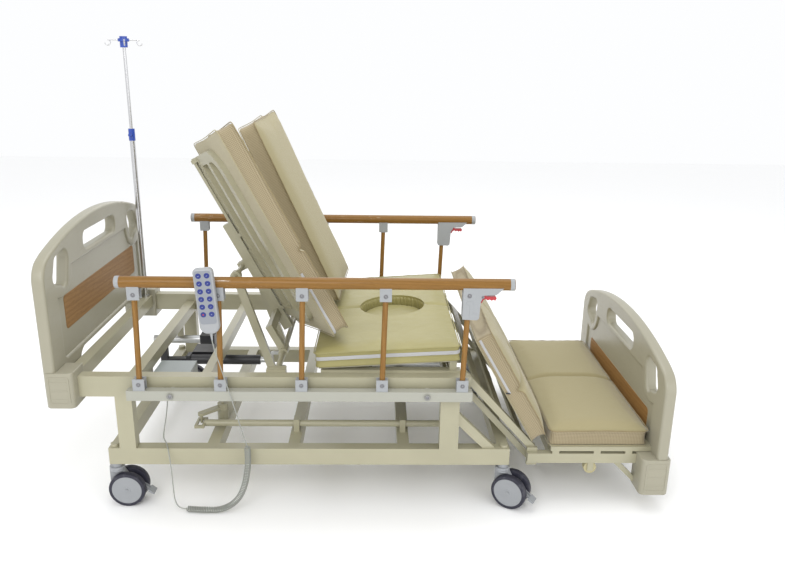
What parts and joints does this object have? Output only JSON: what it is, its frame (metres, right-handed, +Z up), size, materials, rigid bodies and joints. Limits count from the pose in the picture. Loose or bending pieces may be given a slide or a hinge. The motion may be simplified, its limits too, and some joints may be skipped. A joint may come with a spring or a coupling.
{
  "type": "adjustable nursing bed",
  "caption": "Powered nursing bed with a raising, turning split back, lowering leg section, folding side guards, twin-wheel casters, infusion pole and corded handset.",
  "frame": {"origin": "on the floor under the middle of the bed as posed, back raised and leg section lowered", "axes": "+X towards the foot end, +Y towards the patient's left, +Z up"},
  "size_m": [2.08, 1.0621, 1.555],
  "materials": {
    "frame_paint": "semi-gloss powder coat",
    "board_abs": "fine satin grain",
    "wood_inlay": "satin foil",
    "guard_tube": "satin wood-grain film",
    "guard_plastic": "satin",
    "trigger_red": "satin",
    "caster_plastic": "satin",
    "caster_tyre": "matte",
    "steel": "brushed",
    "blue_plastic": "gloss",
    "handset_plastic": "fine grain",
    "knit_fabric": "knitted",
    "seat_vinyl": "soft sheen",
    "drive_black": "fine grain",
    "roller_white": "satin",
    "cord_grey": "satin"
  },
  "bodies": {
    "frame": {"lower_frame": "frame_paint", "upper_frame": "frame_paint", "seat_deck": "frame_paint", "headboard": "board_abs", "headboard_inlay": "wood_inlay", "guard_bases": "guard_plastic", "drive_units": "drive_black", "back_actuator": "drive_black", "seat_pad": "seat_vinyl", "lead_top": "cord_grey", "lead_coil": "cord_grey", "lead_bottom": "cord_grey"},
    "carriage": {"back_carriage": "frame_paint"},
    "back": {"back_frame": "frame_paint"},
    "turn_right": {"back_panel_right": "frame_paint", "back_pad_right": "knit_fabric"},
    "turn_left": {"back_panel_left": "frame_paint"},
    "cushion_left": {"back_pad_left": "knit_fabric"},
    "struts": {"lift_struts": "frame_paint"},
    "back_rod": {"back_actuator_rod": "steel"},
    "calf": {"calf_frame": "frame_paint"},
    "links": {"calf_links": "frame_paint"},
    "calf_cushion": {"calf_pad": "knit_fabric"},
    "foot": {"foot_frame": "frame_paint", "footboard": "board_abs", "footboard_inlay": "wood_inlay", "foot_pad": "knit_fabric"},
    "rollers": {"foot_rollers": "roller_white"},
    "post_right_1": {"post_right_1": "guard_tube"},
    "post_right_2": {"post_right_2": "guard_tube"},
    "post_right_3": {"post_right_3": "guard_tube"},
    "post_right_4": {"post_right_4": "guard_tube"},
    "post_right_5": {"post_right_5": "guard_tube"},
    "rail_right": {"guard_rail_right": "guard_tube"},
    "trigger_right": {"guard_trigger_right": "trigger_red"},
    "post_left_1": {"post_left_1": "guard_tube"},
    "post_left_2": {"post_left_2": "guard_tube"},
    "post_left_3": {"post_left_3": "guard_tube"},
    "post_left_4": {"post_left_4": "guard_tube"},
    "post_left_5": {"post_left_5": "guard_tube"},
    "rail_left": {"guard_rail_left": "guard_tube"},
    "trigger_left": {"guard_trigger_left": "trigger_red"},
    "fork_head_right": {"fork_head_right": "caster_plastic"},
    "wheel_head_right": {"wheel_head_right": "caster_tyre"},
    "fork_head_left": {"fork_head_left": "caster_plastic"},
    "wheel_head_left": {"wheel_head_left": "caster_tyre"},
    "brake_head_right": {"brake_head_right": "caster_plastic"},
    "fork_foot_right": {"fork_foot_right": "caster_plastic"},
    "wheel_foot_right": {"wheel_foot_right": "caster_tyre"},
    "fork_foot_left": {"fork_foot_left": "caster_plastic"},
    "wheel_foot_left": {"wheel_foot_left": "caster_tyre"},
    "brake_foot_right": {"brake_foot_right": "caster_plastic"},
    "iv_lower": {"iv_lower": "steel"},
    "iv_upper": {"iv_upper": "steel", "iv_hook_head": "blue_plastic"},
    "handset": {"handset": "handset_plastic"},
    "keys": {"handset_keys": "blue_plastic"},
    "plug": {"seat_plug": "seat_vinyl"},
    "crank": {"turn_crank": "frame_paint"},
    "turn_rod": {"turn_rod": "steel"}
  },
  "joints": [
    {"name": "carriage_slide", "type": "slide", "parent": "frame", "child": "carriage", "axis": [1, 0, 0], "range_m": [-0.012, 0.116]},
    {"name": "back_raise", "type": "hinge", "parent": "carriage", "child": "back", "pos_m": [-0.3, 0, 0.465], "axis": [0, 1, 0], "range_deg": [-62, 0]},
    {"name": "back_turn_right", "type": "hinge", "parent": "back", "child": "turn_right", "pos_m": [-0.27086, -0.014, 0.48049], "axis": [-0.4695, 0, 0.8829], "range_deg": [-26, 0]},
    {"name": "back_turn_left", "type": "hinge", "parent": "back", "child": "turn_left", "pos_m": [-0.27086, 0.014, 0.48049], "axis": [0.4695, 0, -0.8829], "range_deg": [-20, 0]},
    {"name": "left_cushion_lie", "type": "hinge", "parent": "turn_left", "child": "cushion_left", "pos_m": [-0.13907, 0.42027, 0.57662], "axis": [0.3484, -0.225, -0.91], "range_deg": [-0.2, 16.74]},
    {"name": "strut_hinge", "type": "hinge", "parent": "back", "child": "struts", "pos_m": [-0.46996, 0, 0.73139], "axis": [0, 1, 0], "range_deg": [-1, 3]},
    {"name": "back_rod_slide", "type": "slide", "parent": "frame", "child": "back_rod", "axis": [1, 0, 0], "range_m": [-0.026, 0.243]},
    {"name": "leg_lower", "type": "hinge", "parent": "frame", "child": "calf", "pos_m": [0.335, 0, 0.465], "axis": [0, 1, 0], "range_deg": [-48, 0]},
    {"name": "link_hinge", "type": "hinge", "parent": "frame", "child": "links", "pos_m": [0.323, 0, 0.423], "axis": [0, 1, 0], "range_deg": [-48.5, 0.5]},
    {"name": "foot_level", "type": "hinge", "parent": "calf", "child": "foot", "pos_m": [0.58459, 0, 0.18781], "axis": [0, 1, 0], "range_deg": [-0.5, 48.5]},
    {"name": "calf_cushion_hinge", "type": "hinge", "parent": "calf", "child": "calf_cushion", "pos_m": [0.82115, 0, 0.44467], "axis": [0, 1, 0], "range_deg": [-12.2, 0.2]},
    {"name": "foot_roller_spin", "type": "hinge", "parent": "foot", "child": "rollers", "pos_m": [0.784, 0, 0.127], "axis": [0, 1, 0], "continuous": true},
    {"name": "post_right_1_fold", "type": "hinge", "parent": "frame", "child": "post_right_1", "pos_m": [-0.731, -0.497, 0.466], "axis": [0, 1, 0], "range_deg": [0, 76]},
    {"name": "post_right_2_fold", "type": "hinge", "parent": "frame", "child": "post_right_2", "pos_m": [-0.46925, -0.497, 0.466], "axis": [0, 1, 0], "range_deg": [-0.5, 76.5]},
    {"name": "post_right_3_fold", "type": "hinge", "parent": "frame", "child": "post_right_3", "pos_m": [-0.2075, -0.497, 0.466], "axis": [0, 1, 0], "range_deg": [-0.5, 76.5]},
    {"name": "post_right_4_fold", "type": "hinge", "parent": "frame", "child": "post_right_4", "pos_m": [0.05425, -0.497, 0.466], "axis": [0, 1, 0], "range_deg": [-0.5, 76.5]},
    {"name": "post_right_5_fold", "type": "hinge", "parent": "frame", "child": "post_right_5", "pos_m": [0.316, -0.497, 0.466], "axis": [0, 1, 0], "range_deg": [-0.5, 76.5]},
    {"name": "guard_rail_right_level", "type": "hinge", "parent": "post_right_1", "child": "rail_right", "pos_m": [-0.72198, -0.497, 0.76987], "axis": [0, 1, 0], "range_deg": [-76.5, 0.5]},
    {"name": "guard_trigger_right_pull", "type": "hinge", "parent": "rail_right", "child": "trigger_right", "pos_m": [0.36702, -0.497, 0.77187], "axis": [0, 1, 0], "range_deg": [-8, 0], "stiffness_Nm_per_rad": 0.6, "springref_deg": 8.59},
    {"name": "post_left_1_fold", "type": "hinge", "parent": "frame", "child": "post_left_1", "pos_m": [-0.731, 0.497, 0.466], "axis": [0, 1, 0], "range_deg": [0, 76]},
    {"name": "post_left_2_fold", "type": "hinge", "parent": "frame", "child": "post_left_2", "pos_m": [-0.46925, 0.497, 0.466], "axis": [0, 1, 0], "range_deg": [-0.5, 76.5]},
    {"name": "post_left_3_fold", "type": "hinge", "parent": "frame", "child": "post_left_3", "pos_m": [-0.2075, 0.497, 0.466], "axis": [0, 1, 0], "range_deg": [-0.5, 76.5]},
    {"name": "post_left_4_fold", "type": "hinge", "parent": "frame", "child": "post_left_4", "pos_m": [0.05425, 0.497, 0.466], "axis": [0, 1, 0], "range_deg": [-0.5, 76.5]},
    {"name": "post_left_5_fold", "type": "hinge", "parent": "frame", "child": "post_left_5", "pos_m": [0.316, 0.497, 0.466], "axis": [0, 1, 0], "range_deg": [-0.5, 76.5]},
    {"name": "guard_rail_left_level", "type": "hinge", "parent": "post_left_1", "child": "rail_left", "pos_m": [-0.72198, 0.497, 0.76987], "axis": [0, 1, 0], "range_deg": [-76.5, 0.5]},
    {"name": "guard_trigger_left_pull", "type": "hinge", "parent": "rail_left", "child": "trigger_left", "pos_m": [0.36702, 0.497, 0.77187], "axis": [0, 1, 0], "range_deg": [-8, 0], "stiffness_Nm_per_rad": 0.6, "springref_deg": 8.59},
    {"name": "caster_head_right_swivel", "type": "hinge", "parent": "frame", "child": "fork_head_right", "pos_m": [-0.849, -0.45, 0.18], "axis": [0, 0, 1], "continuous": true},
    {"name": "caster_head_right_roll", "type": "hinge", "parent": "fork_head_right", "child": "wheel_head_right", "pos_m": [-0.813, -0.45, 0.062], "axis": [0, 1, 0], "continuous": true},
    {"name": "caster_head_right_brake", "type": "hinge", "parent": "fork_head_right", "child": "brake_head_right", "pos_m": [-0.787, -0.45, 0.074], "axis": [0, 1, 0], "range_deg": [0, 12]},
    {"name": "caster_head_left_swivel", "type": "hinge", "parent": "frame", "child": "fork_head_left", "pos_m": [-0.849, 0.45, 0.18], "axis": [0, 0, 1], "continuous": true},
    {"name": "caster_head_left_roll", "type": "hinge", "parent": "fork_head_left", "child": "wheel_head_left", "pos_m": [-0.813, 0.45, 0.062], "axis": [0, 1, 0], "continuous": true},
    {"name": "caster_foot_right_swivel", "type": "hinge", "parent": "frame", "child": "fork_foot_right", "pos_m": [0.475, -0.45, 0.18], "axis": [0, 0, 1], "continuous": true},
    {"name": "caster_foot_right_roll", "type": "hinge", "parent": "fork_foot_right", "child": "wheel_foot_right", "pos_m": [0.50618, -0.468, 0.062], "axis": [0.5, 0.866, 0], "continuous": true},
    {"name": "caster_foot_right_brake", "type": "hinge", "parent": "fork_foot_right", "child": "brake_foot_right", "pos_m": [0.52869, -0.481, 0.074], "axis": [0.5, 0.866, 0], "range_deg": [0, 12]},
    {"name": "caster_foot_left_swivel", "type": "hinge", "parent": "frame", "child": "fork_foot_left", "pos_m": [0.475, 0.45, 0.18], "axis": [0, 0, 1], "continuous": true},
    {"name": "caster_foot_left_roll", "type": "hinge", "parent": "fork_foot_left", "child": "wheel_foot_left", "pos_m": [0.511, 0.45, 0.062], "axis": [0, 1, 0], "continuous": true},
    {"name": "iv_pole_lift", "type": "slide", "parent": "frame", "child": "iv_lower", "axis": [0, 0, 1], "range_m": [0, 0.3]},
    {"name": "iv_pole_extend", "type": "slide", "parent": "iv_lower", "child": "iv_upper", "axis": [0, 0, 1], "range_m": [-0.3, 0.02]},
    {"name": "handset_lift", "type": "slide", "parent": "rail_right", "child": "handset", "axis": [0, 0, 1], "range_m": [0, 0.05]},
    {"name": "handset_key_press", "type": "slide", "parent": "handset", "child": "keys", "axis": [0, 1, 0], "range_m": [0, 0.0015], "stiffness_N_per_m": 400},
    {"name": "seat_plug_lift", "type": "slide", "parent": "frame", "child": "plug", "axis": [-0.061, 0, 0.9981], "range_m": [0, 0.07]},
    {"name": "turn_crank_swing", "type": "hinge", "parent": "frame", "child": "crank", "pos_m": [-0.521, -0.255, 0.255], "axis": [0, 0, 1], "range_deg": [-0.5, 40.5]},
    {"name": "turn_rod_slide", "type": "slide", "parent": "frame", "child": "turn_rod", "axis": [1, 0, 0], "range_m": [-0.001, 0.057]}
  ],
  "couplings": [
    {"joint": "carriage_slide", "follows": "back_raise", "m_per_rad": -0.10627},
    {"joint": "left_cushion_lie", "follows": "back_turn_left", "ratio": -0.82693},
    {"joint": "strut_hinge", "follows": "back_raise", "ratio": -0.03422},
    {"joint": "back_rod_slide", "follows": "back_raise", "m_per_rad": -0.22312},
    {"joint": "link_hinge", "follows": "leg_lower", "ratio": 1},
    {"joint": "foot_level", "follows": "leg_lower", "ratio": -1},
    {"joint": "calf_cushion_hinge", "follows": "leg_lower", "ratio": 0.25},
    {"joint": "post_right_2_fold", "follows": "post_right_1_fold", "ratio": 1},
    {"joint": "post_right_3_fold", "follows": "post_right_1_fold", "ratio": 1},
    {"joint": "post_right_4_fold", "follows": "post_right_1_fold", "ratio": 1},
    {"joint": "post_right_5_fold", "follows": "post_right_1_fold", "ratio": 1},
    {"joint": "guard_rail_right_level", "follows": "post_right_1_fold", "ratio": -1},
    {"joint": "post_left_2_fold", "follows": "post_left_1_fold", "ratio": 1},
    {"joint": "post_left_3_fold", "follows": "post_left_1_fold", "ratio": 1},
    {"joint": "post_left_4_fold", "follows": "post_left_1_fold", "ratio": 1},
    {"joint": "post_left_5_fold", "follows": "post_left_1_fold", "ratio": 1},
    {"joint": "guard_rail_left_level", "follows": "post_left_1_fold", "ratio": -1},
    {"joint": "turn_crank_swing", "follows": "back_turn_right", "ratio": -1.5385},
    {"joint": "turn_rod_slide", "follows": "back_turn_right", "m_per_rad": -0.12296}
  ]
}
